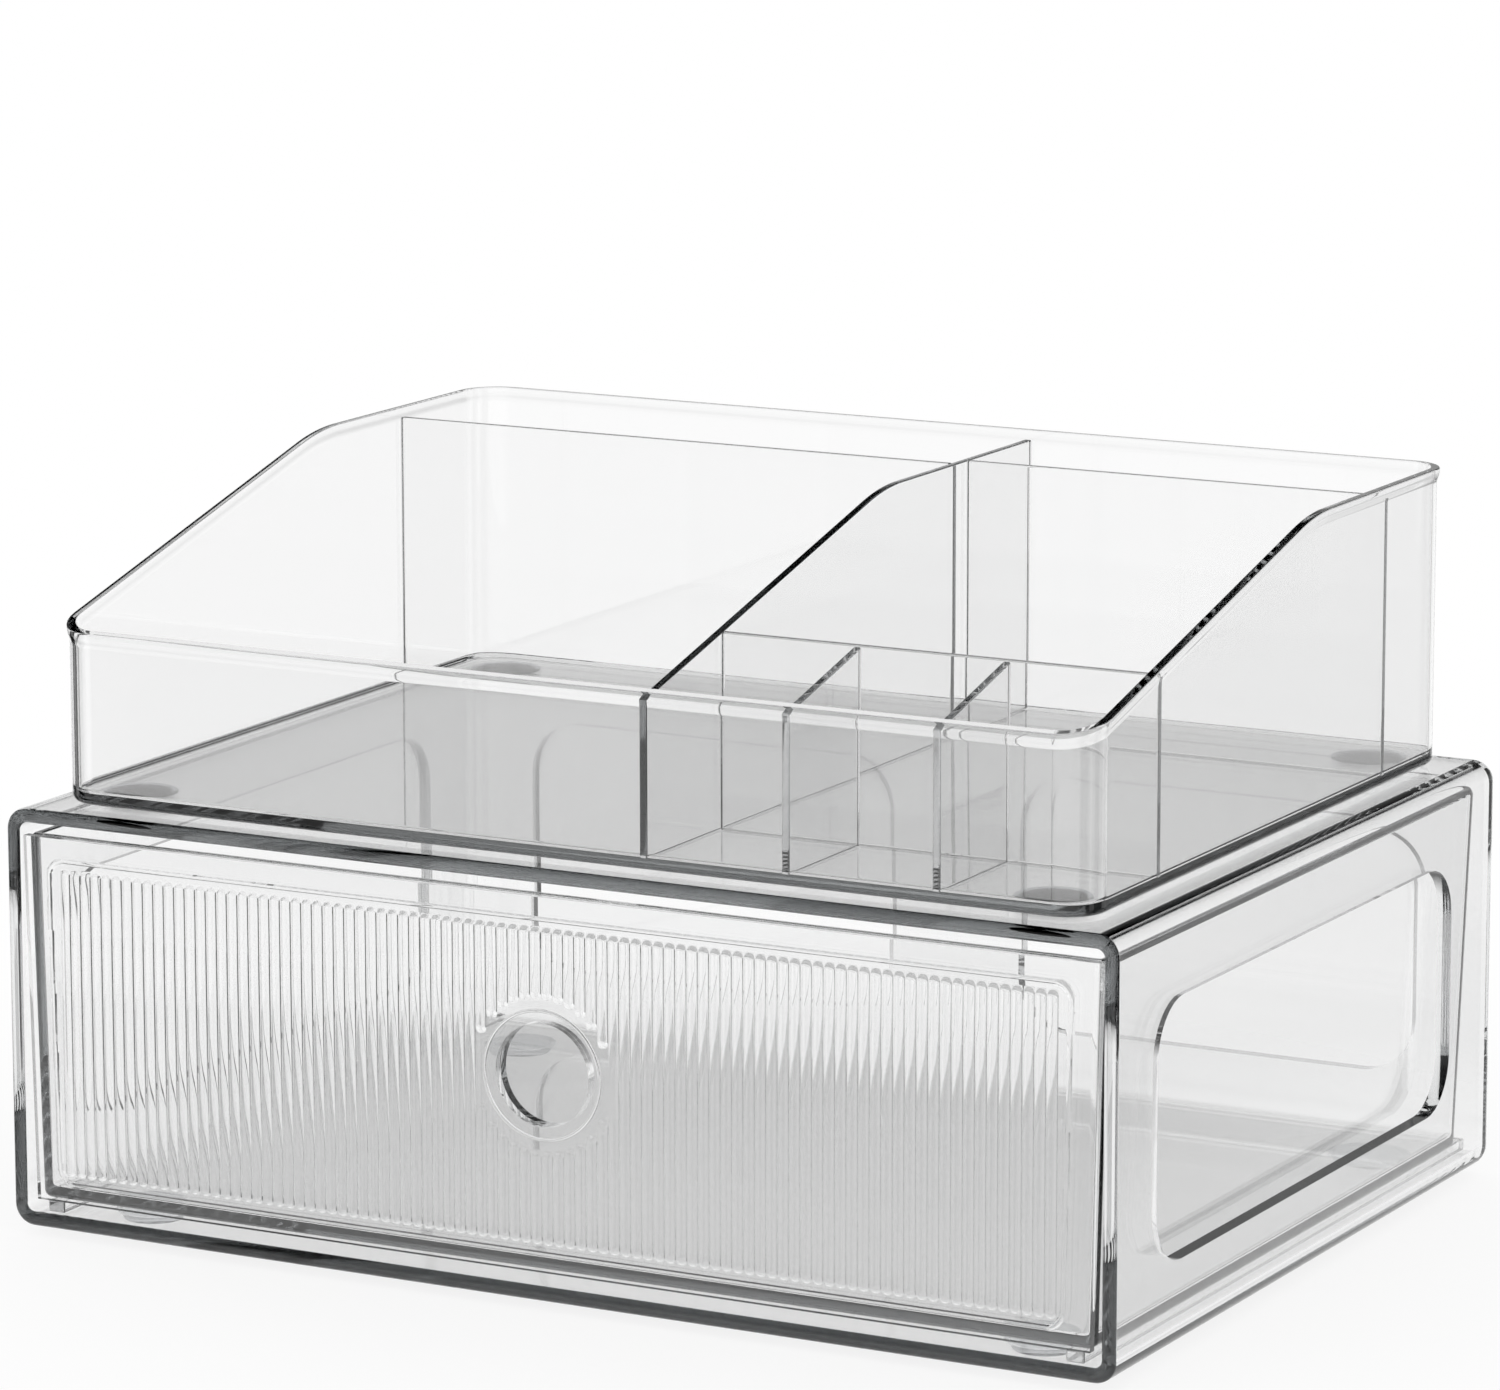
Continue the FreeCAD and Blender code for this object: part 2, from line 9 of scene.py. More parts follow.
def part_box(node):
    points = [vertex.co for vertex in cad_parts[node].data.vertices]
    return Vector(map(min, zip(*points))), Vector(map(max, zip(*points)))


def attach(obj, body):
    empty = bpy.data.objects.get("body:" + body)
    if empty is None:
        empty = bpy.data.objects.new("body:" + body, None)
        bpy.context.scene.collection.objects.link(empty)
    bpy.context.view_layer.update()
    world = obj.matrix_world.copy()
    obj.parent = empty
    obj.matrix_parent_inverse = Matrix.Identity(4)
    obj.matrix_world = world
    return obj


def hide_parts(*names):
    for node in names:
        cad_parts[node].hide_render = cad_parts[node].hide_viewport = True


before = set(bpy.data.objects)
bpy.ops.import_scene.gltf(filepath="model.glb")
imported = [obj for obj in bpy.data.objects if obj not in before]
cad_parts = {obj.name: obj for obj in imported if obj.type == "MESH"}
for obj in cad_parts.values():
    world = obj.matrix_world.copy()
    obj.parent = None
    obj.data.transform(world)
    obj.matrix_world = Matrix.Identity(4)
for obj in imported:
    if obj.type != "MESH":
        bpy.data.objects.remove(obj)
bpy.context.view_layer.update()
scene = bpy.context.scene
MM = 0.001

# ---- Camera ----
# A long lens, a little above the organizer and to the right of its front.
CAMERA_PLACE = (0.6822, -1.2779, 0.3943)
CAMERA_TURN = math.radians(28.205)
CAMERA_DIP = math.radians(11.179)
CAMERA_ROLL = math.radians(-0.076)
SENSOR_WIDTH = 36
FOCAL_LENGTH = 172
VIEW_END = 20

camera = bpy.data.objects.new("camera", bpy.data.cameras.new("camera"))
scene.collection.objects.link(camera)
camera.data.sensor_width = SENSOR_WIDTH
camera.data.lens = FOCAL_LENGTH
camera.data.clip_end = VIEW_END
aim = Euler((math.radians(90) - CAMERA_DIP, 0, CAMERA_TURN)).to_matrix()
aim = aim @ Matrix.Rotation(CAMERA_ROLL, 3, "Z")
camera.matrix_world = Matrix.Translation(CAMERA_PLACE) @ aim.to_4x4()
scene.camera = camera

# ---- Cabinet shell ----
# Injection-moulded acrylic (PMMA): a box that is open at the front, with walls 3 mm thick. Every outer
# edge is rounded, as it leaves the mould. Each side has a window with round corners, and the back has
# two with a post between them.
WALL = 3 * MM
EDGE_ROUND = 4.5 * MM
BACK_ROUND = 4.0 * MM
MOUTH_ROUND = 1.3 * MM
INNER_ROUND = 1.8 * MM
WINDOW_ROUND = 11.5 * MM
WINDOW_LENGTH = 144 * MM
WINDOW_HEIGHT = 52.4 * MM
WINDOW_SETBACK = 18.5 * MM
WINDOW_RISE = 18 * MM
WINDOW_CUT = 0.2
BACK_WINDOW_MARGIN = 18.5 * MM
BACK_POST_WIDTH = 31.5 * MM
ARC_STEPS = 8
ACRYLIC_IOR = 1.49
ACRYLIC_TINT = "#8f9496"
FLOW_SIZE = 45 * MM
HANDLING_SIZE = 6 * MM
RIPPLE = 0.02
RIPPLE_HEIGHT = 0.4 * MM
BOUNCES = 64


def linear(hex_colour, alpha=1.0):
    """An sRGB hex colour as the linear numbers that a shader takes."""
    channels = [int(hex_colour[i:i + 2], 16) / 255 for i in (1, 3, 5)]
    return [c / 12.92 if c <= 0.04045 else ((c + 0.055) / 1.055) ** 2.4 for c in channels] + [alpha]


def add_node(tree, kind, links=(), **settings):
    """One shader node with its settings and the links into it, each (input, node, output)."""
    node = tree.nodes.new(kind)
    for name, value in settings.items():
        if hasattr(node, name):
            setattr(node, name, value)
        else:
            node.inputs[name.replace("_", " ")].default_value = value
    for target, source, output in links:
        tree.links.new(source.outputs[output], node.inputs[target])
    return node


def clear_acrylic(name, density):
    """Polished PMMA: clear and very smooth, and grey where the light runs a long way inside it."""
    material = bpy.data.materials.new(name)
    material.use_nodes = True
    tree = material.node_tree
    surface = tree.nodes["Principled BSDF"]
    surface.inputs["Base Color"].default_value = (1, 1, 1, 1)
    surface.inputs["Transmission Weight"].default_value = 1
    surface.inputs["IOR"].default_value = ACRYLIC_IOR
    place = add_node(tree, "ShaderNodeTexCoord")
    flow = add_node(tree, "ShaderNodeTexNoise", [("Vector", place, "Object")],
                    Scale=1 / FLOW_SIZE, Detail=1.0)
    handling = add_node(tree, "ShaderNodeTexNoise", [("Vector", place, "Object")],
                        Scale=1 / HANDLING_SIZE, Detail=3.0)
    haze = add_node(tree, "ShaderNodeMapRange", [("Value", handling, "Fac")],
                    From_Min=0.45, From_Max=0.8, To_Min=0.0, To_Max=0.035)
    bump = add_node(tree, "ShaderNodeBump", [("Height", flow, "Fac")],
                    Strength=RIPPLE, Distance=RIPPLE_HEIGHT)
    tree.links.new(haze.outputs["Result"], surface.inputs["Roughness"])
    tree.links.new(bump.outputs["Normal"], surface.inputs["Normal"])
    absorb = add_node(tree, "ShaderNodeVolumeAbsorption", Color=linear(ACRYLIC_TINT), Density=density)
    tree.links.new(absorb.outputs["Volume"], tree.nodes["Material Output"].inputs["Volume"])
    return material


def loop(across, deep, rounds, stops=()):
    """Points round a rectangle with arcs for corners, anticlockwise from its near right corner's arc.

    across and deep are (low, high). rounds are the radii of the near right, far right, far left and near
    left corners. stops are places along deep where the two long sides get a point as well."""
    points = []
    corners = ((across[1], deep[0], -90, 1, -1), (across[1], deep[1], 0, 1, 1),
               (across[0], deep[1], 90, -1, 1), (across[0], deep[0], 180, -1, -1))
    for number, (x, y, start, side, end) in enumerate(corners):
        radius = rounds[number]
        for step in range(ARC_STEPS + 1):
            angle = math.radians(start + 90 * step / ARC_STEPS)
            points.append((x - side * radius + radius * math.cos(angle),
                           y - end * radius + radius * math.sin(angle)))
        if number == 0:
            points += [(x, stop) for stop in stops]
        if number == 2:
            points += [(x, stop) for stop in reversed(stops)]
    return points


def new_piece(name, points, faces):
    """An object in the scene with a mesh of its own."""
    mesh = bpy.data.meshes.new(name)
    mesh.from_pydata(points, [], faces)
    piece = bpy.data.objects.new(name, mesh)
    scene.collection.objects.link(piece)
    return piece


def skin(name, rings):
    """A closed mesh through rings of as many points each, with a flat face at the first and the last."""
    count = len(rings[0])
    faces = [tuple(range(count))[::-1]]
    for row in range(len(rings) - 1):
        for column in range(count):
            following = (column + 1) % count
            faces.append((row * count + column, row * count + following,
                          (row + 1) * count + following, (row + 1) * count + column))
    faces.append(tuple(range((len(rings) - 1) * count, len(rings) * count)))
    return new_piece(name, [point for ring in rings for point in ring], faces)


def quarter(radius, steps=4):
    """(inwards, along) pairs of a quarter round, from fully inwards to fully along."""
    angles = [math.pi / 2 * step / steps for step in range(steps + 1)]
    return [(radius * (1 - math.sin(a)), radius * (1 - math.cos(a))) for a in angles]


def apply_modifier(piece, kind, **settings):
    """Gives the piece a modifier and works it into the mesh."""
    modifier = piece.modifiers.new(kind.lower(), kind)
    for name, value in settings.items():
        setattr(modifier, name, value)
    with bpy.context.temp_override(object=piece, active_object=piece, selected_objects=[piece]):
        bpy.ops.object.modifier_apply(modifier=modifier.name)


def face_outwards(piece):
    """Turns every face of a closed mesh outwards, as a clean cut needs."""
    form = bmesh.new()
    form.from_mesh(piece.data)
    bmesh.ops.recalc_face_normals(form, faces=form.faces)
    form.to_mesh(piece.data)
    form.free()


def cut_away(piece, cutter):
    """Takes the cutter's shape out of the piece, and the cutter out of the scene."""
    face_outwards(piece)
    face_outwards(cutter)
    apply_modifier(piece, "BOOLEAN", operation="DIFFERENCE", object=cutter, solver="EXACT")
    bpy.data.objects.remove(cutter)


def finish_surface(piece, material, sharp=35):
    """Smooth rounds beside flat faces, as polishing leaves them, in one material."""
    mesh = piece.data
    mesh.materials.clear()
    mesh.materials.append(material)
    mesh.polygons.foreach_set("use_smooth", [True] * len(mesh.polygons))
    form = bmesh.new()
    form.from_mesh(mesh)
    bmesh.ops.recalc_face_normals(form, faces=form.faces)
    for edge in form.edges:
        edge.smooth = len(edge.link_faces) == 2 and edge.calc_face_angle() < math.radians(sharp)
    form.to_mesh(mesh)
    form.free()
    apply_modifier(piece, "WEIGHTED_NORMAL", keep_sharp=True, weight=100)


def stands_for(piece, body, *nodes):
    """The piece moves with the body, and is seen in place of the nodes."""
    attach(piece, body)
    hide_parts(*nodes)


acrylic = clear_acrylic("polished acrylic", density=10)
scene.cycles.max_bounces = BOUNCES
scene.cycles.transmission_bounces = BOUNCES
scene.cycles.glossy_bounces = BOUNCES

low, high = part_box("cabinet_shell")


def cabinet_ring(depth, inset, radius):
    """The cabinet's section at a depth, inset from its outer faces."""
    points = loop((low.x + inset, high.x - inset), (low.z + inset, high.z - inset), [radius] * 4)
    return [(x, depth, z) for x, z in points]


rings = []
for inwards, along in quarter(BACK_ROUND):
    rings.append(cabinet_ring(high.y - along, inwards, EDGE_ROUND - inwards))
for inwards, along in reversed(quarter(MOUTH_ROUND)):
    rings.append(cabinet_ring(low.y + along, inwards, EDGE_ROUND - inwards))
for inwards, along in quarter(MOUTH_ROUND):
    rings.append(cabinet_ring(low.y + along, WALL - inwards, INNER_ROUND + inwards))
rings.append(cabinet_ring(high.y - WALL, WALL, INNER_ROUND))
cabinet_shell = skin("cabinet_box", rings)
front, bottom = low.y + WINDOW_SETBACK, low.z + WINDOW_RISE
outline = loop((front, front + WINDOW_LENGTH), (bottom, bottom + WINDOW_HEIGHT), [WINDOW_ROUND] * 4)
window = skin("window", [[(x, y, z) for y, z in outline] for x in (-WINDOW_CUT, WINDOW_CUT)])
cut_away(cabinet_shell, window)
for side in (-1, 1):
    ends = sorted((side * BACK_POST_WIDTH / 2, side * (high.x - BACK_WINDOW_MARGIN)))
    outline = loop(ends, (bottom, bottom + WINDOW_HEIGHT), [WINDOW_ROUND] * 4)
    depths = (high.y - 2 * WALL, high.y + WALL)
    window = skin("back_window", [[(x, y, z) for x, z in outline] for y in depths])
    cut_away(cabinet_shell, window)
finish_surface(cabinet_shell, acrylic)
stands_for(cabinet_shell, "cabinet", "cabinet_shell")

# ---- Drawer runners ----
# Square acrylic rails on the cabinet's floor, moulded with it. The drawer's floor slides on them. Clear
# pieces that touch stand a hair apart, so that light bends at each face once.
HAIR = 0.04 * MM
RAIL_ROUND = 0.4 * MM
RAIL_CORNER = RAIL_ROUND * 1.2


def bar(name, lowest, highest):
    """A block with rounded edges that stands between two corners."""
    levels = [(lowest.z + along, inwards) for inwards, along in quarter(RAIL_ROUND, 2)]
    levels += [(highest.z - along, inwards) for inwards, along in reversed(quarter(RAIL_ROUND, 2))]
    rings = []
    for z, inset in levels:
        ring = loop((lowest.x + inset, highest.x - inset), (lowest.y + inset, highest.y - inset),
                    [RAIL_CORNER - inset] * 4)
        rings.append([(x, y, z) for x, y in ring])
    return skin(name, rings)


rail_acrylic = clear_acrylic("rail acrylic", density=2)
for side in ("left", "right"):
    low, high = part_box(f"drawer_runner_{side}")
    low = low + Vector((0, 0, HAIR))
    high = high - Vector((0, HAIR, 0))
    rail = bar(f"runner_rail_{side}", low, high)
    finish_surface(rail, rail_acrylic)
    stands_for(rail, "cabinet", f"drawer_runner_{side}")

# ---- Anti-slip pads ----
# Round pads of clear silicone rubber, stuck under the cabinet's and the tray's corners. Each is a low
# cone, a little narrower at its foot, with soft edges.
PAD_ROUND = 0.25 * MM
PAD_TAPER = 1.2 * MM
PAD_STEPS = 48
PAD_SHARP = 50
SILICONE_IOR = 1.41
CLOUD_SIZE = 3 * MM


def silicone(name):
    """Clear silicone rubber: a soft shine, and a faint cloudiness inside."""
    material = bpy.data.materials.new(name)
    material.use_nodes = True
    tree = material.node_tree
    surface = tree.nodes["Principled BSDF"]
    surface.inputs["Transmission Weight"].default_value = 1.0
    surface.inputs["IOR"].default_value = SILICONE_IOR
    place = add_node(tree, "ShaderNodeTexCoord")
    cloud = add_node(tree, "ShaderNodeTexNoise", [("Vector", place, "Object")],
                     Scale=1 / CLOUD_SIZE, Detail=4.0)
    tone = add_node(tree, "ShaderNodeValToRGB", [("Fac", cloud, "Fac")])
    tone.color_ramp.elements[0].color = linear("#c4c7ca")
    tone.color_ramp.elements[1].color = linear("#dcdfe1")
    rough = add_node(tree, "ShaderNodeMapRange", [("Value", cloud, "Fac")], To_Min=0.02, To_Max=0.07)
    tree.links.new(tone.outputs["Color"], surface.inputs["Base Color"])
    tree.links.new(rough.outputs["Result"], surface.inputs["Roughness"])
    return material


def round_pad(name, lowest, highest):
    """A low cone with soft edges that fills the box between two corners."""
    centre = (lowest + highest) / 2
    radius = (highest.x - lowest.x) / 2
    top = highest.z - HAIR
    steps = [(lowest.z + along, PAD_TAPER + inwards) for inwards, along in quarter(PAD_ROUND, 3)]
    steps += [(top - along, inwards) for inwards, along in reversed(quarter(PAD_ROUND, 3))]
    angles = [2 * math.pi * step / PAD_STEPS for step in range(PAD_STEPS)]
    rings = []
    for z, inset in steps:
        reach = radius - inset
        rings.append([(centre.x + reach * math.cos(a), centre.y + reach * math.sin(a), z) for a in angles])
    return skin(name, rings)


rubber = silicone("clear silicone")
for owner in ("cabinet", "tray"):
    for corner in ("front_left", "front_right", "rear_left", "rear_right"):
        node = f"{owner}_pad_{corner}"
        pad = round_pad(f"{owner}_foot_{corner}", *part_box(node))
        finish_surface(pad, rubber, sharp=PAD_SHARP)
        stands_for(pad, owner, node)

# ---- Drawer tub ----
# Moulded acrylic tub, 2 mm thick. Its sides and back lean out, so that it leaves the mould, and its
# front stands upright behind the ribbed plate.
TUB_WALL = 2 * MM
TUB_FLOOR = 2.2 * MM
TUB_SIDE_DRAFT = 1.7 * MM
TUB_BACK_DRAFT = 3.4 * MM
TUB_BOTTOM_ROUND = 1.6 * MM
TUB_CORNER = 4 * MM
TUB_RIM_ROUND = 0.5 * MM
TUB_FRONT_CORNER = TUB_RIM_ROUND * 1.2
TUB_INNER_ROUND = 1.0 * MM
HOLE_RADIUS = 10.5 * MM
HOLE_RISE = 40.2 * MM
HOLE_STEPS = 96
HOLE_CUT = 5 * MM

tub_low, tub_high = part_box("drawer_tub")
tub_height = tub_high.z - tub_low.z


def tub_ring(level, inset, corner):
    """The tub's section at a level, inset from its outer faces, which lean out towards the rim."""
    lean = 1 - (level - tub_low.z) / tub_height
    half = tub_high.x - TUB_SIDE_DRAFT * lean - inset
    back = tub_high.y - TUB_BACK_DRAFT * lean - inset
    front_corner = max(TUB_FRONT_CORNER, corner - TUB_WALL)
    points = loop((-half, half), (tub_low.y + HAIR + inset, back),
                  [front_corner, corner, corner, front_corner])
    return [(x, y, level) for x, y in points]


rings = [tub_ring(tub_low.z + along, inwards, TUB_CORNER - inwards)
         for inwards, along in quarter(TUB_BOTTOM_ROUND)]
for inwards, along in reversed(quarter(TUB_RIM_ROUND, 3)):
    rings.append(tub_ring(tub_high.z - along, inwards, TUB_CORNER - inwards))
for inwards, along in quarter(TUB_RIM_ROUND, 3):
    rings.append(tub_ring(tub_high.z - along, TUB_WALL - inwards, TUB_CORNER - TUB_WALL + inwards))
rings += [tub_ring(tub_low.z + TUB_FLOOR + along, TUB_WALL + inwards, TUB_CORNER - TUB_WALL)
          for inwards, along in reversed(quarter(TUB_INNER_ROUND, 3))]
tub = skin("clear_tub", rings)


def finger_cutter(front, back):
    """A round bar from front to back, as wide as the finger hole."""
    angles = [2 * math.pi * (step + 0.5) / HOLE_STEPS for step in range(HOLE_STEPS)]
    height = tub_low.z + HOLE_RISE
    outline = [(HOLE_RADIUS * math.cos(a), height + HOLE_RADIUS * math.sin(a)) for a in angles]
    return skin("finger_cutter", [[(x, y, z) for x, z in outline] for y in (front, back)])


cut_away(tub, finger_cutter(tub_low.y - HOLE_CUT, tub_low.y + HOLE_CUT))
finish_surface(tub, acrylic)
stands_for(tub, "drawer", "drawer_tub")

# ---- Ribbed drawer front ----
# Acrylic plate on the tub's front. Ninety upright half-round ribs inside a raised border let light
# through but blur what is behind them, and stop short of the smooth disc round the finger hole.
RELIEF = 0.4 * MM
RIB_PITCH = 2.5 * MM
RIB_COUNT = 90
RIB_WIDTH = 2.35 * MM
BORDER_SIDE = 5.4 * MM
BORDER_TOP = 4.0 * MM
BORDER_BOTTOM = 3.4 * MM
BORDER_WIDTH = 1.0 * MM
BORDER_ROUND = 3.5 * MM
RIB_END_GAP = 1.3 * MM
RIB_FREE = 15.6 * MM
RING_RADIUS = 13.4 * MM
RING_WIDTH = 0.7 * MM
RING_STEPS = 128
BEAD_STEPS = 8
RIB_SHARES = (-1, -0.95, -0.8, -0.5, 0, 0.5, 0.8, 0.95, 1)
FINE_STEP = 0.25 * MM
HOLE_STEP = 0.3 * MM
LONG_STEP = 6 * MM
EDGE_STEP = 0.6 * MM
BORDER_SPARE = 0.5 * MM
RIB_END_ZONE = 5.5 * MM
HOLE_SPARE = 1.5 * MM

plate_low, plate_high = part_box("drawer_front_panel")
plate_face = plate_low.y + RELIEF
hole_level = plate_low.z + HOLE_RISE
side_lean = TUB_SIDE_DRAFT / (plate_high.z - plate_low.z)


def rounded_height(distance, half_width):
    """Height of a half-round bead at a distance from its middle line."""
    return RELIEF * np.sqrt(np.clip(1 - (distance / half_width) ** 2, 0, 1))


def relief(x, z):
    """Height of the front's pattern above the plate."""
    rib_low = plate_low.z + BORDER_BOTTOM + BORDER_WIDTH + RIB_END_GAP + RIB_WIDTH / 2
    rib_high = plate_high.z - BORDER_TOP - BORDER_WIDTH - RIB_END_GAP - RIB_WIDTH / 2
    shift = (RIB_COUNT - 1) / 2
    number = np.clip(np.round(x / RIB_PITCH + shift), 0, RIB_COUNT - 1)
    middle = (number - shift) * RIB_PITCH
    beyond = np.maximum(np.maximum(rib_low - z, z - rib_high), 0)
    clear = np.sqrt(np.clip(RIB_FREE ** 2 - middle ** 2, 0, None))
    near_hole = np.where(clear > 0, np.maximum(clear + RIB_WIDTH / 2 - np.abs(z - hole_level), 0), 0)
    ribs = rounded_height(np.hypot(x - middle, np.maximum(beyond, near_hole)), RIB_WIDTH / 2)
    outer_half = plate_high.x - side_lean * (plate_high.z - z) - BORDER_SIDE - BORDER_WIDTH / 2
    centre = (plate_low.z + BORDER_BOTTOM + plate_high.z - BORDER_TOP) / 2
    half_height = (plate_high.z - BORDER_TOP - plate_low.z - BORDER_BOTTOM - BORDER_WIDTH) / 2
    out_x = np.abs(x) - (outer_half - BORDER_ROUND)
    out_z = np.abs(z - centre) - (half_height - BORDER_ROUND)
    outside = np.hypot(np.maximum(out_x, 0), np.maximum(out_z, 0))
    outside = outside + np.minimum(np.maximum(out_x, out_z), 0)
    border = rounded_height(outside - BORDER_ROUND, BORDER_WIDTH / 2)
    return np.maximum(ribs, border)


def steps_between(start, stop, step):
    """Even stops of about a step each, from the start on and without the last."""
    return list(np.linspace(start, stop, max(2, int(round(abs(stop - start) / step)) + 1))[:-1])


def front_grid():
    """Places across and levels for the front's mesh, close together where the pattern is curved."""
    half = [0.0]
    for number in range(RIB_COUNT // 2):
        middle = (number + 0.5) * RIB_PITCH
        half += [middle + share * RIB_WIDTH / 2 for share in RIB_SHARES]
    border = plate_high.x - BORDER_SIDE + BORDER_SPARE
    half += steps_between(RIB_COUNT * RIB_PITCH / 2, border, FINE_STEP)
    half += [border, plate_high.x - EDGE_STEP, plate_high.x]
    columns = np.array([-v for v in reversed(half[1:])] + half)
    bottom = plate_low.z + BORDER_BOTTOM - BORDER_SPARE
    top = plate_high.z - BORDER_TOP + BORDER_SPARE
    hole_bottom = hole_level - RIB_FREE - HOLE_SPARE
    hole_top = hole_level + RIB_FREE + HOLE_SPARE
    rows = [plate_low.z, plate_low.z + EDGE_STEP]
    rows += steps_between(bottom, bottom + RIB_END_ZONE, FINE_STEP)
    rows += steps_between(bottom + RIB_END_ZONE, hole_bottom, LONG_STEP)
    rows += steps_between(hole_bottom, hole_top, HOLE_STEP)
    rows += steps_between(hole_top, top - RIB_END_ZONE, LONG_STEP)
    rows += steps_between(top - RIB_END_ZONE, top, FINE_STEP)
    rows += [top, plate_high.z - EDGE_STEP, plate_high.z]
    return columns, np.array(rows)


columns, rows = front_grid()
x, z = np.meshgrid(columns, rows)
ribbed_half = RIB_COUNT * RIB_PITCH / 2
lean = np.clip((np.abs(x) - ribbed_half) / (plate_high.x - ribbed_half), 0, 1)
x = x - np.sign(x) * lean * side_lean * (plate_high.z - z)
y = plate_face - relief(x, z)
wide, tall = len(columns), len(rows)
front_points = np.stack([x, y, z], axis=-1).reshape(-1, 3)
rim = ([(0, c) for c in range(wide)] + [(r, wide - 1) for r in range(1, tall)]
       + [(tall - 1, c) for c in range(wide - 2, -1, -1)] + [(r, 0) for r in range(tall - 2, 0, -1)])
back_points = [(x[r, c], plate_high.y - HAIR, z[r, c]) for r, c in rim]
faces = [(r * wide + c, r * wide + c + 1, (r + 1) * wide + c + 1, (r + 1) * wide + c)
         for r in range(tall - 1) for c in range(wide - 1)]
first = wide * tall
count = len(rim)
for index, (r, c) in enumerate(rim):
    following = (index + 1) % count
    other = rim[following]
    faces.append((r * wide + c, first + index, first + following, other[0] * wide + other[1]))
faces.append(tuple(first + index for index in range(count)))
plate = new_piece("ribbed_plate", [tuple(p) for p in front_points] + back_points, faces)
cut_away(plate, finger_cutter(plate_low.y - HOLE_CUT, plate_high.y + HOLE_CUT))
finish_surface(plate, acrylic)
stands_for(plate, "drawer", "drawer_front_panel")
bead = []
for turn in range(BEAD_STEPS):
    rise = math.pi * turn / (BEAD_STEPS - 1)
    radius = RING_RADIUS - RING_WIDTH / 2 + math.cos(rise) * RING_WIDTH / 2
    depth = plate_face - HAIR - math.sin(rise) * (RELIEF - HAIR)
    for step in range(RING_STEPS):
        angle = 2 * math.pi * step / RING_STEPS
        bead.append((radius * math.cos(angle), depth, hole_level + radius * math.sin(angle)))
faces = []
for turn in range(BEAD_STEPS):
    here, there = turn * RING_STEPS, (turn + 1) % BEAD_STEPS * RING_STEPS
    for step in range(RING_STEPS):
        following = (step + 1) % RING_STEPS
        faces.append((here + step, here + following, there + following, there + step))
ring = new_piece("finger_ring", bead, faces)
finish_surface(ring, acrylic)
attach(ring, "drawer")

# ---- Tray shell ----
# Moulded acrylic tray. Its rim follows the side walls from the low front up to a soft knee and then
# level to the back, and swells softly into a band a little thicker than the wall below.
TRAY_WALL = 2.0 * MM
TRAY_FLOOR = 2.2 * MM
TRAY_CORNER = 9 * MM
TRAY_BOTTOM_ROUND = 1.6 * MM
TRAY_INNER_ROUND = 1.2 * MM
TRAY_FRONT_HEIGHT = 35.6 * MM
KNEE_DISTANCE = 103.2 * MM
KNEE_ROUND = 60 * MM
KNEE_STOPS = 13
KNEE_START = 0.99
BAND_TOP = 0.8 * MM
BAND_BOTTOM = 3.4 * MM
BAND_DEPTH = 0.6 * MM
BAND_ROUND = 0.3 * MM
BAND_STEPS = 8

tray_low, tray_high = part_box("tray_shell")
slope = (tray_high.z - tray_low.z - TRAY_FRONT_HEIGHT) / KNEE_DISTANCE
knee = tray_low.y + KNEE_DISTANCE
knee_reach = KNEE_ROUND * math.tan(math.atan(slope) / 2)


def rim_height(y):
    """Level of the tray's rim: a slope, an arc at the knee, and then level."""
    if y >= knee + knee_reach:
        return tray_high.z
    if y <= knee - knee_reach * math.cos(math.atan(slope)):
        return tray_high.z - slope * (knee - y)
    back = knee + knee_reach - y
    return tray_high.z - (KNEE_ROUND - math.sqrt(KNEE_ROUND ** 2 - back ** 2))


knee_stops = list(np.linspace(knee - knee_reach * KNEE_START, knee + knee_reach, KNEE_STOPS))


def tray_ring(inset, corner, level=None, drop=0.0):
    """The tray's outline, inset from its outer faces, at a level or at a drop below the rim."""
    points = loop((tray_low.x + inset, tray_high.x - inset), (tray_low.y + inset, tray_high.y - inset),
                  [corner] * 4, knee_stops)
    return [(px, py, level if level is not None else rim_height(py) - drop) for px, py in points]


rings = [tray_ring(BAND_DEPTH + inwards, TRAY_CORNER - BAND_DEPTH - inwards, level=tray_low.z + along)
         for inwards, along in quarter(TRAY_BOTTOM_ROUND)]
for step in range(BAND_STEPS):
    inset = (1 + math.cos(math.pi * step / (BAND_STEPS - 1))) / 2 * BAND_DEPTH
    drop = BAND_BOTTOM + (BAND_TOP - BAND_BOTTOM) * step / (BAND_STEPS - 1)
    rings.append(tray_ring(inset, TRAY_CORNER - inset, drop=drop))
for inwards, along in reversed(quarter(BAND_ROUND, 3)):
    rings.append(tray_ring(inwards, TRAY_CORNER - inwards, drop=along))
for inwards, along in quarter(BAND_ROUND, 3):
    rings.append(tray_ring(TRAY_WALL - inwards, TRAY_CORNER - TRAY_WALL + inwards, drop=along))
inner_corner = TRAY_CORNER - TRAY_WALL
rings += [tray_ring(TRAY_WALL + inwards, inner_corner - inwards, level=tray_low.z + TRAY_FLOOR + along)
          for inwards, along in reversed(quarter(TRAY_INNER_ROUND, 3))]
tray = skin("tray_basin", rings)
finish_surface(tray, acrylic)
stands_for(tray, "tray", "tray_shell")

# ---- Tray dividers ----
# Acrylic plates 1.7 mm thick that stand in the tray and part it into seven bays. Their edges are
# flame-polished, and stand a little lower than the tray's rim.
PLATE_ROUND = 0.35 * MM
PLATE_SHARP = 60
PARTITION_DROP = 2.0 * MM


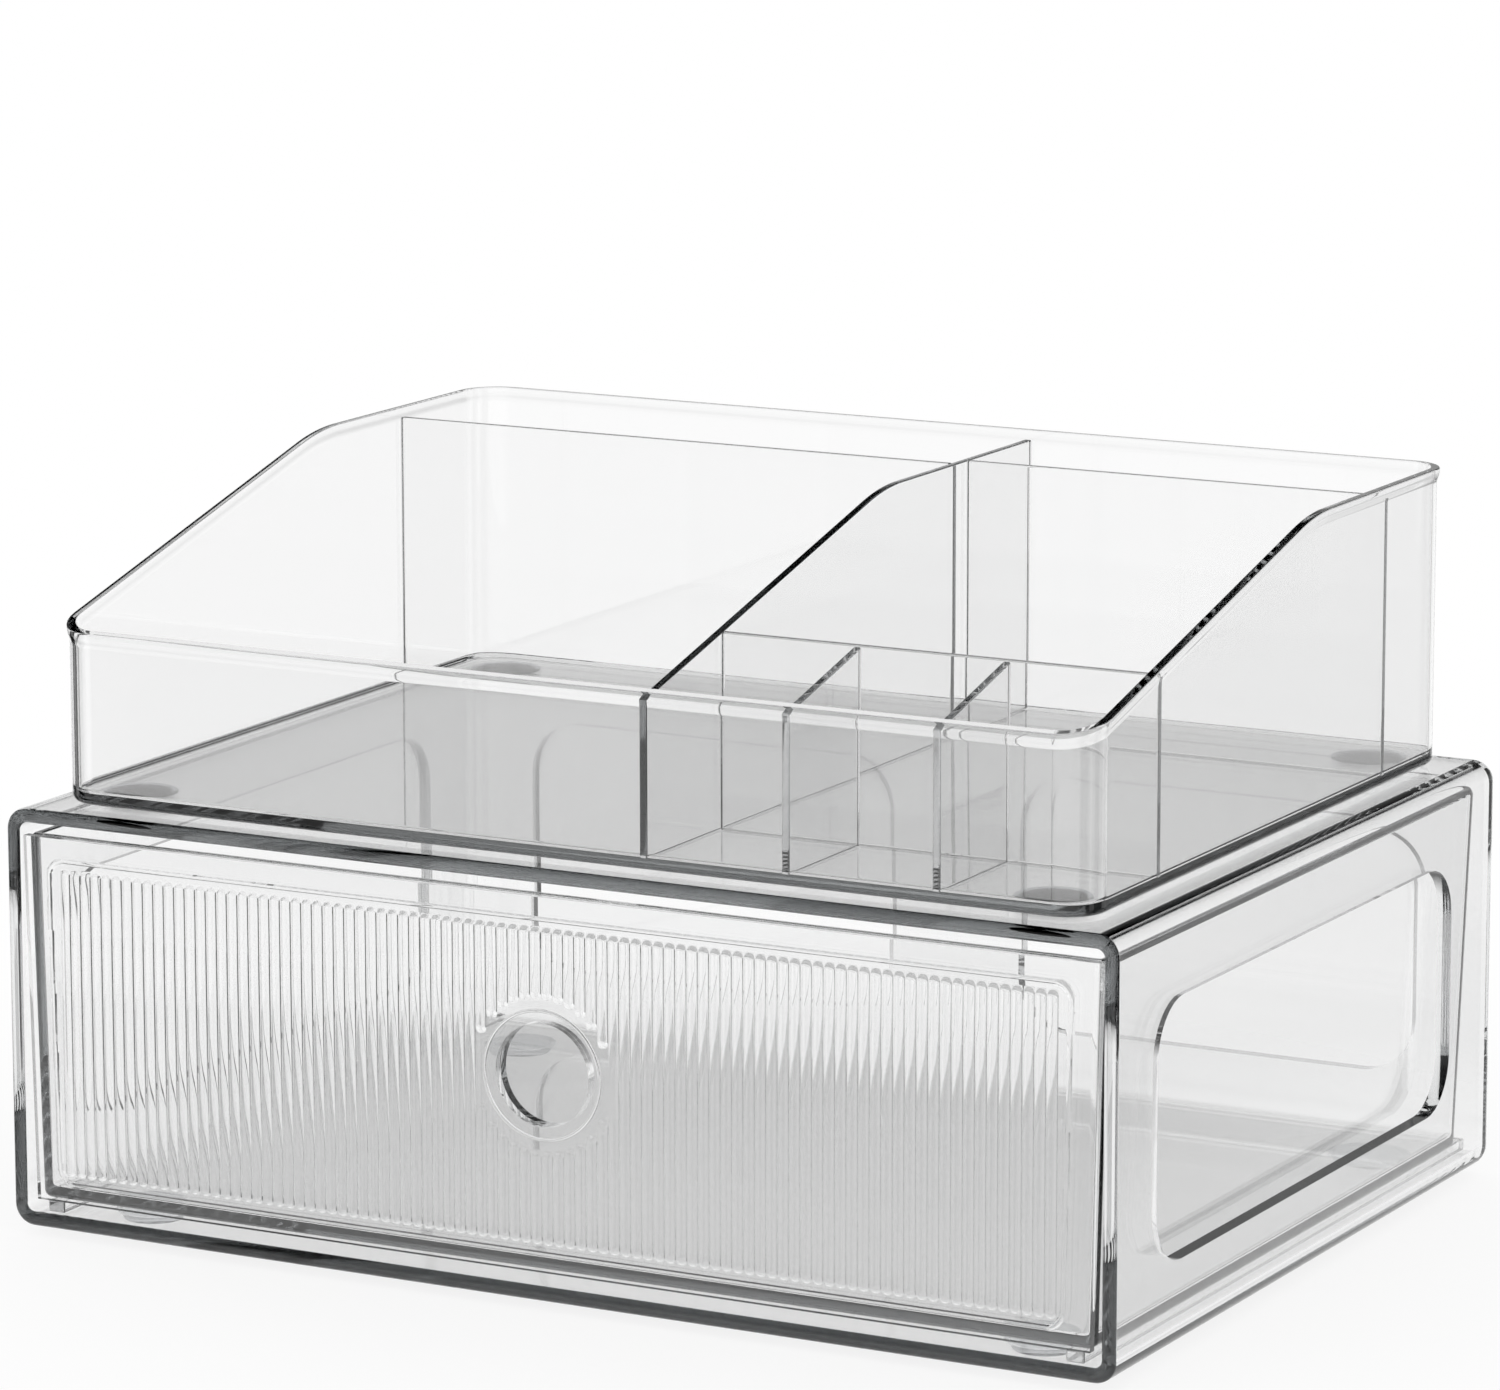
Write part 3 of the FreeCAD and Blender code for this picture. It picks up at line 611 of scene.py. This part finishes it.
def upright_plate(name, outline, thickness, place, along_y):
    """A plate from its outline of (run, level) points. It stands along Y or along X at place."""
    rings = []
    for face in (place - thickness / 2, place + thickness / 2):
        rings.append([(face, run, z) if along_y else (run, face, z) for run, z in outline])
    plate = skin(name, rings)
    apply_modifier(plate, "BEVEL", width=PLATE_ROUND, segments=3, limit_method="ANGLE",
                   angle_limit=math.radians(PLATE_SHARP))
    finish_surface(plate, acrylic)
    return plate


def divider(name, node):
    """The plate for a node: one along Y follows the tray's rim, and one along X is level."""
    low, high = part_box(node)
    along_y = high.y - low.y > high.x - low.x
    base = low.z + HAIR
    if along_y:
        start, stop = low.y + HAIR, high.y - HAIR
        runs = [stop] + [s for s in reversed(knee_stops) if start < s < stop] + [start]
        outline = [(start, base), (stop, base)]
        outline += [(run, rim_height(run) - PARTITION_DROP) for run in runs]
        return upright_plate(name, outline, high.x - low.x, (low.x + high.x) / 2, True)
    start, stop = low.x + HAIR, high.x - HAIR
    outline = [(start, base), (stop, base), (stop, high.z), (start, high.z)]
    return upright_plate(name, outline, high.y - low.y, (low.y + high.y) / 2, False)


for name, node in (("long_partition", "tray_partition"), ("rear_wall_left", "tray_back_wall_left"),
                   ("rear_wall_right", "tray_back_wall_right"), ("low_cross_wall", "tray_cross_wall"),
                   ("bay_divider_left", "tray_divider_left"), ("bay_divider_right", "tray_divider_right")):
    plate = divider(name, node)
    stands_for(plate, "tray", node)

# ---- Floor and light ----
# A white paper floor in a white room that gets dark overhead, with four tall black cards and two grey
# ones round the object, as for any clear product: its edges bend them into view as dark lines.
FLOOR_HALF = 3.0
SHADOW_LIGHT = 0.85
SHADOW_START = 0.12
SHADOW_END = 0.4
PAPER_START = 0.16
PAPER_END = 0.26
DARK_OVERHEAD = 0.45
CARD_SOFT = 3.0
# Each card: the bearing of its middle and its half width in degrees, and its lightness.
CARDS = [(69.5, 11.5, 0.03), (-69.5, 11.5, 0.03), (110.5, 11.5, 0.03),
         (-110.5, 11.5, 0.03), (24, 9, 0.55), (-156, 9, 0.6)]


def card_light(tree, source, socket):
    """How bright the room is in the direction of a vector: 1 is white, and less on a card."""
    parts = add_node(tree, "ShaderNodeSeparateXYZ", [("Vector", source, socket)])
    bearing = add_node(tree, "ShaderNodeMath", [(0, parts, "X"), (1, parts, "Y")], operation="ARCTAN2")
    level, level_socket = None, "Value"
    for centre, half, light in CARDS:
        away = add_node(tree, "ShaderNodeMath", [(0, bearing, "Value")], operation="SUBTRACT")
        away.inputs[1].default_value = math.radians(centre)
        apart = add_node(tree, "ShaderNodeMath", [(0, away, "Value")], operation="ABSOLUTE")
        card = add_node(tree, "ShaderNodeMapRange", [("Value", apart, "Value")],
                        From_Min=math.radians(half), From_Max=math.radians(half + CARD_SOFT),
                        To_Min=light, To_Max=1.0)
        if level is None:
            level, level_socket = card, "Result"
        else:
            level = add_node(tree, "ShaderNodeMath", [(0, level, level_socket), (1, card, "Result")],
                             operation="MULTIPLY")
            level_socket = "Value"
    return level


def bent_ray(tree, path):
    """1 for light that the object has bent or mirrored, and else 0."""
    return add_node(tree, "ShaderNodeMath", [(0, path, "Is Transmission Ray"), (1, path, "Is Glossy Ray")],
                    operation="MAXIMUM")


floor = new_piece("floor", [(-FLOOR_HALF, -FLOOR_HALF, 0), (FLOOR_HALF, -FLOOR_HALF, 0),
                            (FLOOR_HALF, FLOOR_HALF, 0), (-FLOOR_HALF, FLOOR_HALF, 0)], [(0, 1, 2, 3)])
paper = bpy.data.materials.new("white paper")
paper.use_nodes = True
tree = paper.node_tree
matt = tree.nodes["Principled BSDF"]
matt.inputs["Base Color"].default_value = linear("#fdfdfd")
matt.inputs["Roughness"].default_value = 0.9
glow = add_node(tree, "ShaderNodeEmission", Color=linear("#ffffff"), Strength=1.0)
path = add_node(tree, "ShaderNodeLightPath")
bent = bent_ray(tree, path)
seen = add_node(tree, "ShaderNodeMath", [(0, path, "Is Camera Ray"), (1, bent, "Value")],
                operation="MAXIMUM")
spot = add_node(tree, "ShaderNodeTexCoord")
reach = add_node(tree, "ShaderNodeVectorMath", [(0, spot, "Object")], operation="LENGTH")
fade = add_node(tree, "ShaderNodeMapRange", [("Value", reach, "Value")],
                From_Min=SHADOW_START, From_Max=SHADOW_END, To_Min=SHADOW_LIGHT, To_Max=1.0)
share = add_node(tree, "ShaderNodeMath", [(0, seen, "Value"), (1, fade, "Result")], operation="MULTIPLY")
white = add_node(tree, "ShaderNodeMixShader", [(0, share, "Value"), (1, matt, "BSDF"),
                                               (2, glow, "Emission")])
# Light bent or mirrored by the object meets the room, with its cards, where the floor is far from it.
far = add_node(tree, "ShaderNodeMapRange", [("Value", reach, "Value")],
               From_Min=PAPER_START, From_Max=PAPER_END, To_Min=0.0, To_Max=1.0)
open_floor = add_node(tree, "ShaderNodeMath", [(0, bent, "Value"), (1, far, "Result")],
                      operation="MULTIPLY")
away = add_node(tree, "ShaderNodeBsdfTransparent")
mixed = add_node(tree, "ShaderNodeMixShader", [(0, open_floor, "Value"), (1, white, "Shader"),
                                               (2, away, "BSDF")])
tree.links.new(mixed.outputs["Shader"], tree.nodes["Material Output"].inputs["Surface"])
floor.data.materials.append(paper)

world = bpy.data.worlds.new("studio")
scene.world = world
world.use_nodes = True
sky = world.node_tree
look = add_node(sky, "ShaderNodeTexCoord")
level = card_light(sky, look, "Generated")
parts = add_node(sky, "ShaderNodeSeparateXYZ", [("Vector", look, "Generated")])
overhead = add_node(sky, "ShaderNodeMapRange", [("Value", parts, "Z")],
                    From_Min=0.0, From_Max=DARK_OVERHEAD, To_Min=1.0, To_Max=0.0)
room = add_node(sky, "ShaderNodeMath", [(0, level, "Value"), (1, overhead, "Result")],
                operation="MULTIPLY")
path = add_node(sky, "ShaderNodeLightPath")
bent = bent_ray(sky, path)
shade = add_node(sky, "ShaderNodeMix", [("Factor", bent, "Value"), ("B", room, "Value")],
                 data_type="FLOAT")
shade.inputs["A"].default_value = 1.0
sky.links.new(shade.outputs["Result"], sky.nodes["Background"].inputs["Strength"])
sky.nodes["Background"].inputs["Color"].default_value = (1, 1, 1, 1)

scene.view_settings.view_transform = "Standard"
